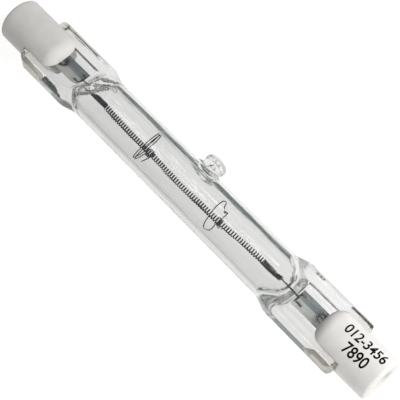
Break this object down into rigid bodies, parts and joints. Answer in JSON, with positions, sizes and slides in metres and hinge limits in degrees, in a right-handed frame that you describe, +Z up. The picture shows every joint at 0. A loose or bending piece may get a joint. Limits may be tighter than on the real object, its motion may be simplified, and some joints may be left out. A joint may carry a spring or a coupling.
{
  "type": "linear halogen bulb",
  "caption": "Linear halogen lamp: a clear quartz tube round a coiled filament, with pinched ends, an exhaust tip on its side and white ceramic caps with recessed contacts.",
  "frame": {"origin": "on the table under the middle of the lamp's box: half way between the two ends and between its widest points", "axes": "+X along the tube towards the end with the nearer cap in the picture, +Z up from the table, and the exhaust tip leans down to the table on the +Y side"},
  "size_m": [0.0782, 0.011, 0.0081],
  "materials": {
    "fused_quartz": "clear fused quartz, fire-polished, with faint drawing lines",
    "tungsten": "dark grey tungsten wire",
    "molybdenum_wire": "dull grey molybdenum wire",
    "molybdenum_foil": "satin rolled foil, slightly wrinkled",
    "steatite_ceramic": "matt white unglazed ceramic",
    "lamp_cement": "matt off-white cement",
    "nickelled_contact": "satin nickel plating"
  },
  "bodies": {
    "root": {"quartz_envelope": "fused_quartz", "filament": "tungsten", "left_filament_support": "tungsten", "right_filament_support": "tungsten", "left_inner_lead": "molybdenum_wire", "left_foil": "molybdenum_foil", "left_outer_lead": "molybdenum_wire", "left_ceramic_cap": "steatite_ceramic", "left_cement": "lamp_cement", "left_contact": "nickelled_contact", "right_inner_lead": "molybdenum_wire", "right_foil": "molybdenum_foil", "right_outer_lead": "molybdenum_wire", "right_ceramic_cap": "steatite_ceramic", "right_cement": "lamp_cement", "right_contact": "nickelled_contact"}
  },
  "joints": []
}
